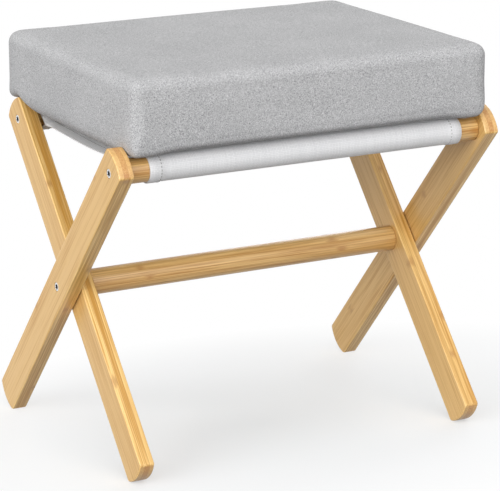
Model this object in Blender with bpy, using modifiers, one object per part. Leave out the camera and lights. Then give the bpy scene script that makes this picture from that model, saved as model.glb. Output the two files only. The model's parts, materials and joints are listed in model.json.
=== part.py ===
"""Folding footstool in bamboo with a fabric sling and a loose cushion.

Two crossed leg frames swing on bolts that screw into the ends of the stretcher. The outer legs carry
the front rail and the inner legs carry the rear rail. A sling with a tunnel on each rail holds the rails
together when the stool is open, and the cushion lies on the rails.

Lengths are in metres. +X runs along the rails, -Y is the front, +Z is up, and the origin is on the floor
under the middle of the stool.
"""

import math

import bmesh
import bpy
from mathutils import Vector

# Clearance between pieces that touch or fit into each other
FIT_GAP = 0.0003

# Leg frames
OVERALL_WIDTH = 0.480
LEG_THICKNESS = 0.018
LEG_WIDTH = 0.043
LEG_REACH = 0.244
LEG_END_RADIUS = 0.042
LEG_CORNER_RADIUS = 0.004
LEG_EDGE_RADIUS = 0.0015
OPEN_ANGLE_DEGREES = 41.9
FOOT_FLAT_DEPTH = 0.0006

# Round rails
RAIL_END_MARGIN = 0.0233
RAIL_DIAMETER = 0.028
STRETCHER_DIAMETER = 0.030

# Bolts, threaded inserts and pivot washers
SHANK_DIAMETER = 0.006
HEAD_DIAMETER = 0.0105
HEAD_HEIGHT = 0.003
HEAD_RECESS = 0.0002
HEAD_CHAMFER = 0.0005
TIP_CHAMFER = 0.0008
SOCKET_WIDTH = 0.004
SOCKET_DEPTH = 0.0022
THREAD_ENGAGEMENT = 0.013
INSERT_DIAMETER = 0.010
INSERT_LENGTH = 0.015
INSERT_CLEAR_DEPTH = 0.003
WASHER_DIAMETER = 0.022
WASHER_THICKNESS = 0.0005

# Sling
FABRIC_THICKNESS = 0.0009
SLING_END_MARGIN = 0.005
SLING_DROP = 0.0042
SLING_SLOPE_LENGTH = 0.012

# Cushion
CUSHION_EDGE_INSET = 0.0008
CUSHION_OVERHANG = 0.003
CUSHION_SIDE_HEIGHT = 0.087
CUSHION_CROWN = 0.003
CUSHION_SWELL = 0.002
CUSHION_EDGE_RADIUS = 0.014
COVER_THICKNESS = 0.0012
POCKET_GAP = 0.0005

# Zip in the cover's underside
ZIP_END_MARGIN = 0.065
ZIP_WIDTH = 0.006
ZIP_THICKNESS = 0.0009
ZIP_REAR_MARGIN = 0.113
SLIDER_LENGTH = 0.011
SLIDER_WIDTH = 0.009
SLIDER_HEIGHT = 0.0022
SLIDER_END_GAP = 0.002
TAB_LENGTH = 0.024
TAB_WIDTH = 0.006
TAB_THICKNESS = 0.0010

# Facets
RAIL_FACETS = 40
BOLT_FACETS = 24
CORNER_STEPS = 3
END_STEPS = 8
SLOPE_STEPS = 6
EDGE_SHARE = 0.55
HEX_SIDES = 6
SHARP_ANGLE_DEGREES = 35
CUSHION_LINES = (3, 3, 2)
MERGE_DISTANCE = 1e-6

# Places that follow from the sizes above
OPEN_ANGLE = math.radians(OPEN_ANGLE_DEGREES)
LEG_PITCH = LEG_THICKNESS + WASHER_THICKNESS + 2 * FIT_GAP
OUTER_LEG_X = (OVERALL_WIDTH - LEG_THICKNESS) / 2
INNER_LEG_X = OUTER_LEG_X - LEG_PITCH
FRONT_RAIL_HALF = OUTER_LEG_X - LEG_THICKNESS / 2 - FIT_GAP
REAR_RAIL_HALF = INNER_LEG_X - LEG_THICKNESS / 2 - FIT_GAP
RAIL_REACH = LEG_REACH - RAIL_END_MARGIN
CORNER_INSET = LEG_WIDTH / 2 - LEG_CORNER_RADIUS
END_CENTRE = LEG_REACH - LEG_END_RADIUS
CORNER_RISE = math.sqrt((LEG_END_RADIUS - LEG_CORNER_RADIUS) ** 2 - CORNER_INSET ** 2)
CORNER_REACH = END_CENTRE + CORNER_RISE
FOOT_DROP = CORNER_REACH * math.cos(OPEN_ANGLE) + CORNER_INSET * math.sin(OPEN_ANGLE) + LEG_CORNER_RADIUS
PIVOT_HEIGHT = FOOT_DROP - FOOT_FLAT_DEPTH
RAIL_Y = RAIL_REACH * math.sin(OPEN_ANGLE)
RAIL_HEIGHT = PIVOT_HEIGHT + RAIL_REACH * math.cos(OPEN_ANGLE)
SLEEVE_BORE = RAIL_DIAMETER / 2 + FIT_GAP
SLEEVE_RADIUS = SLEEVE_BORE + FABRIC_THICKNESS
SLING_HALF = REAR_RAIL_HALF - SLING_END_MARGIN
LEG_SPREAD = CORNER_REACH * math.sin(OPEN_ANGLE) + CORNER_INSET * math.cos(OPEN_ANGLE) + LEG_CORNER_RADIUS
CUSHION_HALF_LENGTH = FRONT_RAIL_HALF + CUSHION_OVERHANG
CUSHION_HALF_DEPTH = LEG_SPREAD - CUSHION_EDGE_INSET
CUSHION_BASE = RAIL_HEIGHT + SLEEVE_RADIUS + FIT_GAP
ZIP_LENGTH = 2 * (CUSHION_HALF_LENGTH - ZIP_END_MARGIN)
ZIP_Y = CUSHION_HALF_DEPTH - ZIP_REAR_MARGIN
ZIP_BASE = CUSHION_BASE + (COVER_THICKNESS - ZIP_THICKNESS) / 2

# Turns that lay a flat leg outline or a rod along the frame
LEG_TURN = (math.pi / 2, 0, math.pi / 2)
ALONG_X = (0, math.pi / 2, 0)
SIDES = ((-1, "left"), (1, "right"))

# Colours as linear red, green and blue, with roughness and metallic values
FINISHES = {
    "bamboo": ((0.68, 0.44, 0.20), 0.45, 0.0),
    "steel": ((0.62, 0.62, 0.63), 0.25, 1.0),
    "zinc": ((0.50, 0.50, 0.48), 0.40, 1.0),
    "nylon": ((0.85, 0.85, 0.83), 0.50, 0.0),
    "sling_cloth": ((0.72, 0.72, 0.73), 0.85, 0.0),
    "cushion_cloth": ((0.40, 0.40, 0.41), 0.95, 0.0),
    "foam": ((0.85, 0.82, 0.68), 0.95, 0.0),
    "zip_coil": ((0.20, 0.20, 0.21), 0.60, 0.0),
}


def clear_scene():
    """Remove every object of the scene."""
    for item in list(bpy.data.objects):
        bpy.data.objects.remove(item, do_unlink=True)


def new_collection(name):
    """Add a collection to the scene."""
    collection = bpy.data.collections.new(name)
    bpy.context.scene.collection.children.link(collection)
    return collection


def finish(name, kind):
    """Give a piece its own material, from one of the finishes."""
    colour, roughness, metallic = FINISHES[kind]
    material = bpy.data.materials.new(name)
    material.use_nodes = True
    shader = material.node_tree.nodes["Principled BSDF"]
    shader.inputs["Base Color"].default_value = (*colour, 1.0)
    shader.inputs["Roughness"].default_value = roughness
    shader.inputs["Metallic"].default_value = metallic
    return material


def add_part(name, mesh, kind, parent=None, location=(0, 0, 0), rotation=(0, 0, 0)):
    """Place a mesh as one piece of the stool."""
    part = bpy.data.objects.new(name, mesh)
    part.parent = parent
    part.location = location
    part.rotation_euler = rotation
    PARTS.objects.link(part)
    mesh.materials.append(finish(name, kind))
    mesh.shade_smooth()
    mesh.set_sharp_from_angle(angle=math.radians(SHARP_ANGLE_DEGREES))
    return part


def add_cutter(name, mesh, parent=None, location=(0, 0, 0), rotation=(0, 0, 0)):
    """Place a mesh as a cutting tool, which isn't part of the stool."""
    cutter = bpy.data.objects.new(name, mesh)
    cutter.parent = parent
    cutter.location = location
    cutter.rotation_euler = rotation
    cutter.hide_render = True
    cutter.display_type = "WIRE"
    CUTTERS.objects.link(cutter)
    return cutter


def add_axis(name, tilt):
    """Place an empty on the pivot axis, tilted about X."""
    axis = bpy.data.objects.new(name, None)
    axis.location = (0, 0, PIVOT_HEIGHT)
    axis.rotation_euler = (tilt, 0, 0)
    PARTS.objects.link(axis)
    return axis


def cut(part, cutter, operation="DIFFERENCE"):
    """Add a Boolean of a cutter to a piece."""
    boolean = part.modifiers.new(cutter.name, "BOOLEAN")
    boolean.solver = "EXACT"
    boolean.operation = operation
    boolean.object = cutter


def mesh_of(name, shape):
    """Turn a bmesh into a mesh with its faces pointing out."""
    bmesh.ops.recalc_face_normals(shape, faces=shape.faces)
    mesh = bpy.data.meshes.new(name)
    shape.to_mesh(mesh)
    shape.free()
    return mesh


def rod_mesh(name, radius, length, facets):
    """Solid cylinder along Z, centred on the origin."""
    shape = bmesh.new()
    bmesh.ops.create_cone(
        shape, cap_ends=True, segments=facets, radius1=radius, radius2=radius, depth=length
    )
    return mesh_of(name, shape)


def box_mesh(name, size):
    """Solid box centred on the origin."""
    shape = bmesh.new()
    bmesh.ops.create_cube(shape, size=1.0)
    bmesh.ops.scale(shape, vec=Vector(size), verts=shape.verts)
    return mesh_of(name, shape)


def flat_mesh(name, outline, thickness, edge_radius=0.0):
    """Plate with the given outline in XY, extruded along Z, with rounded edges."""
    curve = bpy.data.curves.new(name, "CURVE")
    curve.dimensions = "2D"
    curve.fill_mode = "BOTH"
    curve.extrude = thickness / 2 - edge_radius
    curve.bevel_depth = edge_radius
    curve.bevel_resolution = 1
    curve.offset = -edge_radius
    spline = curve.splines.new("POLY")
    spline.points.add(len(outline) - 1)
    for point, (x, y) in zip(spline.points, outline):
        point.co = (x, y, 0.0, 1.0)
    spline.use_cyclic_u = True
    return mesh_from_curve(name, curve)


def mesh_from_curve(name, curve):
    """Turn a curve into a welded mesh and remove the curve."""
    holder = bpy.data.objects.new(name, curve)
    CUTTERS.objects.link(holder)
    graph = bpy.context.evaluated_depsgraph_get()
    mesh = bpy.data.meshes.new_from_object(holder.evaluated_get(graph))
    bpy.data.objects.remove(holder)
    shape = bmesh.new()
    shape.from_mesh(mesh)
    bpy.data.meshes.remove(mesh)
    bmesh.ops.remove_doubles(shape, verts=shape.verts, dist=MERGE_DISTANCE)
    return mesh_of(name, shape)


def arc(centre, radius, start, stop, steps):
    """Points on an arc, from one angle to another."""
    angles = [start + (stop - start) * i / steps for i in range(steps + 1)]
    return [(centre[0] + radius * math.cos(a), centre[1] + radius * math.sin(a)) for a in angles]


def leg_outline(gap=0.0):
    """Side view of a leg, across by along, grown outwards by a gap."""
    lean = math.asin(CORNER_INSET / (LEG_END_RADIUS - LEG_CORNER_RADIUS))
    first = math.pi / 2 - lean
    last = math.pi / 2 + lean
    corner = LEG_CORNER_RADIUS + gap
    end = LEG_END_RADIUS + gap
    top = arc((CORNER_INSET, CORNER_REACH), corner, 0.0, first, CORNER_STEPS)
    top += arc((0.0, END_CENTRE), end, first, last, END_STEPS)[1:]
    top += arc((-CORNER_INSET, CORNER_REACH), corner, last, math.pi, CORNER_STEPS)[1:]
    return top + [(-x, -y) for x, y in top]


def drill(part, name, radius, start, end, parent, height):
    """Cut a round hole along X, from start to end, at a height along the leg."""
    mesh = rod_mesh(name, radius, abs(end - start), BOLT_FACETS)
    place = ((start + end) / 2, 0, height)
    cut(part, add_cutter(name, mesh, parent, place, ALONG_X))


def bolt_holes(part, side, face, height, parent, recessed):
    """Drill a leg for one bolt, and sink its head in the leg's outer face."""
    inner_face = face - side * LEG_THICKNESS
    past = side * LEG_THICKNESS / 2
    name = part.name + "_hole_" + ("rail" if height else "pivot")
    drill(part, name, SHANK_DIAMETER / 2 + FIT_GAP, face + past, inner_face - past, parent, height)
    if recessed:
        floor = face - side * (HEAD_RECESS + HEAD_HEIGHT + FIT_GAP)
        drill(part, name + "_head", HEAD_DIAMETER / 2 + FIT_GAP, face + past, floor, parent, height)


def build_leg(name, side, centre, parent, pivot_recessed):
    """One leg with its bolt holes and the flat that it stands on."""
    mesh = flat_mesh(name, leg_outline(), LEG_THICKNESS, LEG_EDGE_RADIUS)
    leg = add_part(name, mesh, "bamboo", parent, (side * centre, 0, 0), LEG_TURN)
    face = side * (centre + LEG_THICKNESS / 2)
    bolt_holes(leg, side, face, RAIL_REACH, parent, True)
    bolt_holes(leg, side, face, 0.0, parent, pivot_recessed)
    cut(leg, FLOOR)


def build_rail(name, diameter, half_length, height, parent):
    """Round rail with a blind hole for a threaded insert in each end."""
    mesh = rod_mesh(name, diameter / 2, 2 * half_length, RAIL_FACETS)
    rail = add_part(name, mesh, "bamboo", parent, (0, 0, height), ALONG_X)
    depth = INSERT_LENGTH + INSERT_CLEAR_DEPTH
    for side, word in SIDES:
        hole = name + "_hole_" + word
        start = side * (half_length + depth)
        end = side * (half_length - depth)
        drill(rail, hole, INSERT_DIAMETER / 2 + FIT_GAP, start, end, parent, height)
        build_insert(name + "_insert_" + word, side, half_length, height, parent)


def build_insert(name, side, half_length, height, parent):
    """Threaded insert, flush with the end of its rail."""
    mesh = rod_mesh(name, INSERT_DIAMETER / 2, INSERT_LENGTH, BOLT_FACETS)
    centre = side * (half_length - INSERT_LENGTH / 2)
    insert = add_part(name, mesh, "zinc", parent, (centre, 0, height), ALONG_X)
    bore = SHANK_DIAMETER / 2 + FIT_GAP
    reach = side * INSERT_LENGTH
    drill(insert, name + "_bore", bore, centre - reach, centre + reach, parent, height)


def build_bolt(name, side, face, rail_half_length, height, parent):
    """Turned bolt with a hex socket, from a leg's outer face into the end of a rail."""
    top = abs(face) - HEAD_RECESS
    tip = rail_half_length - THREAD_ENGAGEMENT
    shank = SHANK_DIAMETER / 2
    head = HEAD_DIAMETER / 2
    profile = [
        (0.0, top),
        (head - HEAD_CHAMFER, top),
        (head, top - HEAD_CHAMFER),
        (head, top - HEAD_HEIGHT),
        (shank, top - HEAD_HEIGHT),
        (shank, tip + TIP_CHAMFER),
        (shank - TIP_CHAMFER, tip),
        (0.0, tip),
    ]
    shape = bmesh.new()
    points = [shape.verts.new((x, 0.0, z - top)) for x, z in profile]
    for first, second in zip(points, points[1:]):
        shape.edges.new((first, second))
    mesh = bpy.data.meshes.new(name)
    shape.to_mesh(mesh)
    shape.free()
    turn = (0, side * math.pi / 2, 0)
    place = (side * top, 0, height)
    bolt = add_part(name, mesh, "steel", parent, place, turn)
    screw = bolt.modifiers.new("turned", "SCREW")
    screw.steps = BOLT_FACETS
    screw.render_steps = BOLT_FACETS
    screw.use_merge_vertices = True
    screw.merge_threshold = MERGE_DISTANCE
    socket_radius = SOCKET_WIDTH / 2 / math.cos(math.pi / HEX_SIDES)
    socket = rod_mesh(name + "_socket", socket_radius, 2 * SOCKET_DEPTH, HEX_SIDES)
    cut(bolt, add_cutter(name + "_socket", socket, parent, place, turn))


def build_washer(name, side, parent):
    """Thin washer on the pivot bolt, between the outer and the inner leg."""
    mesh = rod_mesh(name, WASHER_DIAMETER / 2, WASHER_THICKNESS, RAIL_FACETS)
    centre = side * (OUTER_LEG_X + INNER_LEG_X) / 2
    washer = add_part(name, mesh, "nylon", parent, (centre, 0, 0), ALONG_X)
    bore = SHANK_DIAMETER / 2 + FIT_GAP
    drill(washer, name + "_bore", bore, centre - WASHER_THICKNESS, centre + WASHER_THICKNESS, parent, 0.0)


def build_frame(word, parent, leg_x, rail_name, rail_half, pivot_recessed):
    """Two legs, the rail between their tops and its two bolts."""
    build_rail(rail_name, RAIL_DIAMETER, rail_half, RAIL_REACH, parent)
    for side, hand in SIDES:
        build_leg(hand + "_" + word + "_leg", side, leg_x, parent, pivot_recessed)
        face = side * (leg_x + LEG_THICKNESS / 2)
        build_bolt(rail_name + "_bolt_" + hand, side, face, rail_half, RAIL_REACH, parent)
    build_sleeve(rail_name + "_sleeve", parent)


def build_axle(parent):
    """Stretcher with the pivot bolts and washers that both leg frames swing on."""
    build_rail("stretcher", STRETCHER_DIAMETER, REAR_RAIL_HALF, 0.0, parent)
    for side, hand in SIDES:
        face = side * (OUTER_LEG_X + LEG_THICKNESS / 2)
        build_bolt("pivot_bolt_" + hand, side, face, REAR_RAIL_HALF, 0.0, parent)
        build_washer("pivot_washer_" + hand, side, parent)


def build_sleeve(name, parent):
    """Tunnel of the sling, a tube of cloth around a rail."""
    mesh = rod_mesh(name, SLEEVE_RADIUS, 2 * SLING_HALF, RAIL_FACETS)
    sleeve = add_part(name, mesh, "sling_cloth", parent, (0, 0, RAIL_REACH), ALONG_X)
    bore = rod_mesh(name + "_bore", SLEEVE_BORE, 4 * SLING_HALF, RAIL_FACETS)
    cut(sleeve, add_cutter(name + "_bore", bore, parent, (0, 0, RAIL_REACH), ALONG_X))


def build_sling_panel(name, direction):
    """Half of the flat cloth between the tunnels, which dips from its rail to the level of the middle."""
    edge = RAIL_Y - SLEEVE_RADIUS - FIT_GAP
    profile = []
    for i in range(SLOPE_STEPS + 1):
        share = i / SLOPE_STEPS
        dip = SLING_DROP * share * share * (3 - 2 * share)
        profile.append((edge - share * SLING_SLOPE_LENGTH, RAIL_HEIGHT - dip))
    profile.append((FIT_GAP / 2, RAIL_HEIGHT - SLING_DROP))
    curve = bpy.data.curves.new(name, "CURVE")
    curve.dimensions = "2D"
    curve.fill_mode = "NONE"
    curve.extrude = SLING_HALF
    spline = curve.splines.new("POLY")
    spline.points.add(len(profile) - 1)
    for point, (y, z) in zip(spline.points, profile):
        point.co = (direction * y, z, 0.0, 1.0)
    panel = add_part(name, mesh_from_curve(name, curve), "sling_cloth", rotation=LEG_TURN)
    thickness = panel.modifiers.new("cloth", "SOLIDIFY")
    thickness.thickness = FABRIC_THICKNESS
    thickness.offset = 0.0


def grid_lines(half, radius, inner_lines):
    """Places across a cushion's box where its faces are divided: close together on the rounded edges."""
    flat = half - radius
    edge = [flat, flat + radius * EDGE_SHARE]
    middle = [flat * i / inner_lines for i in range(inner_lines)]
    positive = middle + edge
    return [-x for x in positive[1:]] + positive


def cushion_mesh(name, inset):
    """Crowned box with rounded edges, drawn in at its corners, smaller all round by an inset."""
    half = Vector((
        CUSHION_HALF_LENGTH - inset,
        CUSHION_HALF_DEPTH - inset,
        CUSHION_SIDE_HEIGHT / 2 - inset,
    ))
    radius = CUSHION_EDGE_RADIUS - inset
    shape = bmesh.new()
    bmesh.ops.create_cube(shape, size=2.0)
    bmesh.ops.scale(shape, vec=half, verts=shape.verts)
    for axis, lines in enumerate(CUSHION_LINES):
        normal = Vector((axis == 0, axis == 1, axis == 2))
        for place in grid_lines(half[axis], radius, lines):
            geometry = list(shape.verts) + list(shape.edges) + list(shape.faces)
            bmesh.ops.bisect_plane(shape, geom=geometry, plane_co=normal * place, plane_no=normal)
    core = half - Vector((radius, radius, radius))
    for vertex in shape.verts:
        inside = Vector([max(-limit, min(limit, x)) for x, limit in zip(vertex.co, core)])
        rounded = inside + (vertex.co - inside).normalized() * radius
        across = rounded.x / half.x
        deep = rounded.y / half.y
        high = max(rounded.z / half.z, 0.0)
        rounded.x += CUSHION_SWELL * across * (1 - deep * deep)
        rounded.y += CUSHION_SWELL * deep * (1 - across * across)
        rounded.z += CUSHION_CROWN * high * (1 - across * across) * (1 - deep * deep)
        vertex.co = rounded
    bmesh.ops.triangulate(shape, faces=shape.faces, quad_method="FIXED")
    return mesh_of(name, shape)


def add_pockets(part, gap):
    """Cut the room that the legs' tops take up, open to the cushion's ends."""
    width = 2 * LEG_PITCH + 2 * gap
    for word, axis, leg_x in (("inner", INNER_AXIS, INNER_LEG_X), ("outer", OUTER_AXIS, OUTER_LEG_X)):
        for side, hand in SIDES:
            name = part.name + "_pocket_" + hand + "_" + word
            mesh = flat_mesh(name, leg_outline(gap), width)
            centre = side * (leg_x - LEG_THICKNESS / 2 - gap + width / 2)
            cut(part, add_cutter(name, mesh, axis, (centre, 0, 0), LEG_TURN))


def build_cushion():
    """Cloth cover with its zip, and the foam block inside it."""
    middle = (0, 0, CUSHION_BASE + CUSHION_SIDE_HEIGHT / 2)
    cover = add_part("cushion_cover", cushion_mesh("cushion_cover", 0.0), "cushion_cloth", location=middle)
    add_pockets(cover, POCKET_GAP)
    hollow = add_cutter("cover_hollow", cushion_mesh("cover_hollow", COVER_THICKNESS), location=middle)
    add_pockets(hollow, POCKET_GAP + COVER_THICKNESS)
    cut(cover, hollow)
    slit_size = (ZIP_LENGTH + 2 * FIT_GAP, ZIP_WIDTH + 2 * FIT_GAP, 4 * COVER_THICKNESS)
    slit = box_mesh("zip_slit", slit_size)
    cut(cover, add_cutter("zip_slit", slit, location=(0, ZIP_Y, CUSHION_BASE)))

    foam_inset = COVER_THICKNESS + FIT_GAP
    foam = add_part("cushion_foam", cushion_mesh("cushion_foam", foam_inset), "foam", location=middle)
    add_pockets(foam, POCKET_GAP + foam_inset)

    chain = box_mesh("cushion_zip", (ZIP_LENGTH, ZIP_WIDTH, ZIP_THICKNESS))
    zip_height = ZIP_BASE + ZIP_THICKNESS / 2
    add_part("cushion_zip", chain, "zip_coil", location=(0, ZIP_Y, zip_height))
    build_zip_slider()


def build_zip_slider():
    """Zip slider with its pull tab, parked at the closed end of the zip."""
    half_width = SLIDER_WIDTH / 2
    half_tail = ZIP_WIDTH / 2
    half_length = SLIDER_LENGTH / 2
    outline = [
        (half_length, -half_width),
        (half_length, half_width),
        (-half_length, half_tail),
        (-half_length, -half_tail),
    ]
    top = CUSHION_BASE - FIT_GAP
    rest_x = ZIP_LENGTH / 2 - SLIDER_END_GAP - half_length
    height = top - SLIDER_HEIGHT / 2
    mesh = flat_mesh("zip_slider", outline, SLIDER_HEIGHT)
    slider = add_part("zip_slider", mesh, "steel", location=(rest_x, ZIP_Y, height))
    tab = box_mesh("zip_tab", (TAB_LENGTH, TAB_WIDTH, TAB_THICKNESS))
    tab_place = (rest_x - half_length / 2 - TAB_LENGTH / 2, ZIP_Y, height - SLIDER_HEIGHT / 2)
    cut(slider, add_cutter("zip_tab", tab, location=tab_place), "UNION")


def main():
    """Build every piece of the stool."""
    build_axle(AXLE)
    build_frame("outer", OUTER_AXIS, OUTER_LEG_X, "front_rail", FRONT_RAIL_HALF, True)
    build_frame("inner", INNER_AXIS, INNER_LEG_X, "rear_rail", REAR_RAIL_HALF, False)
    build_sling_panel("sling_panel_front", -1)
    build_sling_panel("sling_panel_rear", 1)
    build_cushion()


clear_scene()
PARTS = new_collection("folding_footstool")
CUTTERS = new_collection("cutters")
AXLE = add_axis("pivot_axis", 0.0)
OUTER_AXIS = add_axis("outer_fold_axis", OPEN_ANGLE)
INNER_AXIS = add_axis("inner_fold_axis", -OPEN_ANGLE)
FLOOR = add_cutter(
    "floor",
    box_mesh("floor", (2 * OVERALL_WIDTH, 2 * OVERALL_WIDTH, LEG_WIDTH)),
    location=(0, 0, -LEG_WIDTH / 2),
)
main()
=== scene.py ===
"""Folding footstool: the looks of the part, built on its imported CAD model, in metres.

Bamboo legs and dowels, steel bolts, a canvas sling in two halves and a felt cushion with a zip underneath.
Each sub-assembly is a class with its sizes, each finish a frozen dataclass, and main() builds all in order.
"""

import json
import logging
import math
from collections.abc import Callable, Sequence
from dataclasses import astuple, dataclass
from enum import Enum
from functools import cache, partial
from typing import Any

import bmesh
import bpy
import numpy as np
from bpy.types import ID, Material, Mesh, Node, NodeSocket, NodeTree, Object
from mathutils import Euler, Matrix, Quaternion, Vector
from mathutils.bvhtree import BVHTree


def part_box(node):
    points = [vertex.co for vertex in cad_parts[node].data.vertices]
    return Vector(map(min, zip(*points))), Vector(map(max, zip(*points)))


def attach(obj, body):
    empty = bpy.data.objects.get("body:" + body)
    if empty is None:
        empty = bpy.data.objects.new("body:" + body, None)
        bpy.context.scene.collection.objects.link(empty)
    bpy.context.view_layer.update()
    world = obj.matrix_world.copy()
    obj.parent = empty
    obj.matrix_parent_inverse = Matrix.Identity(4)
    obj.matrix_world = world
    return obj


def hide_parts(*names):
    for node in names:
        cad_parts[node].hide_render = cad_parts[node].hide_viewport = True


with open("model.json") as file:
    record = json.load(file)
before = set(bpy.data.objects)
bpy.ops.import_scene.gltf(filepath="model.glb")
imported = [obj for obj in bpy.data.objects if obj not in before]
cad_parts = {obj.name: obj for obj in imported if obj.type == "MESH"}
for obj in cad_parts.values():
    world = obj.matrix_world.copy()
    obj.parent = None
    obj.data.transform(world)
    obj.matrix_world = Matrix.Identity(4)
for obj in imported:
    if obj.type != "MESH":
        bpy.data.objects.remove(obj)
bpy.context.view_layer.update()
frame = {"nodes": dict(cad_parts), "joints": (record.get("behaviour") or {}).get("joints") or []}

LOG = logging.getLogger("footstool")
MM = 0.001
MERGE_DISTANCE = 1e-6
ALL_SMOOTH_DEGREES = 180.0
DOWN = Vector((0, 0, -1))
WHITE = (1.0, 1.0, 1.0, 1.0)
# Inputs of a Mix node for colours, its output and setting, and the inputs of one for numbers
MIX_A, MIX_B = 6, 7
MIX_COLOURS = {"out": 2, "data_type": "RGBA"}
MIX_NUMBERS = (2, 3)
# Where nearly all values of a noise texture lie
NOISE_RANGE = (0.3, 0.7)
# Radians that a wave texture turns through in one unit
WAVE_TURN = 20.0

Pair = tuple[float, float]
Point = tuple[float, float, float]
Inputs = dict[int | str, Any]
AddNode = Callable[..., NodeSocket]


class Half(Enum):
    """Half of the stool, as the sign of a coordinate."""

    @property
    def word(self) -> str:
        """The half as it stands in the names of nodes."""
        return self.name.lower()


class Side(Half):
    """Hand of a piece, seen from the front: the sign of its X."""

    LEFT = -1
    RIGHT = 1


class End(Half):
    """Front or rear half of the stool: the sign of its Y."""

    FRONT = -1
    REAR = 1


def smooth(share: np.ndarray) -> np.ndarray:
    """Limit a share to 0 and 1, and ease it in and out."""
    share = np.clip(share, 0, 1)
    return share**2 * (3 - 2 * share)


def linear(colour: str) -> tuple[float, float, float, float]:
    """Turn an sRGB colour into a linear one.

    Args:
        colour: Hex value such as #E6C48C.

    Returns:
        Linear red, green, blue and alpha.
    """
    values = (int(colour[i : i + 2], 16) / 255 for i in (1, 3, 5))
    red, green, blue = (v / 12.92 if v <= 0.04045 else ((v + 0.055) / 1.055) ** 2.4 for v in values)
    return red, green, blue, 1.0


def feed(node: Node, inputs: Inputs) -> None:
    """Link or set the inputs of a node.

    Args:
        node: Node of a shader or geometry tree.
        inputs: Output to link to, or value, for each input by its name or number.
    """
    for key, value in inputs.items():
        if isinstance(value, NodeSocket):
            node.id_data.links.new(value, node.inputs[key])
        else:
            node.inputs[key].default_value = value


def add_node(
    tree: NodeTree, kind: str, inputs: Inputs | Sequence[Any] = (), out: int | str = 0, **settings: Any
) -> NodeSocket | None:
    """Add a node to a shader or geometry tree.

    Args:
        tree: Tree that gets the node.
        kind: Blender's name for the kind of node, without ShaderNode for those.
        inputs: Links and values of its inputs, by name or number, or the first ones in order.
        out: Name or number of the output that is asked for.
        **settings: Properties of the node, such as operation.

    Returns:
        That output, which leads to the node too.
    """
    node = tree.nodes.new(kind if "Node" in kind else f"ShaderNode{kind}")
    for name, value in settings.items():
        setattr(node, name, value)
    feed(node, inputs if isinstance(inputs, dict) else dict(enumerate(inputs)))
    return node.outputs[out] if node.outputs else None


def add_shares(add: AddNode, total: float | NodeSocket, *shares: tuple[NodeSocket, float]) -> NodeSocket:
    """Add up outputs of nodes.

    Args:
        add: Adds a node to the tree.
        total: Value or output to start from.
        *shares: Each output, and what it is multiplied by.

    Returns:
        Output with the sum.
    """
    for source, share in shares:
        total = add("Math", (source, share, total), operation="MULTIPLY_ADD")
    return total


def start_material(name: str) -> tuple[Material, AddNode, Node]:
    """Make a node material.

    Args:
        name: Common name of the real material.

    Returns:
        The material, what adds nodes to it, and its Principled shader.
    """
    material = bpy.data.materials.new(name)
    material.use_nodes = True
    tree = material.node_tree
    return material, partial(add_node, tree), tree.nodes["Principled BSDF"]


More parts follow.
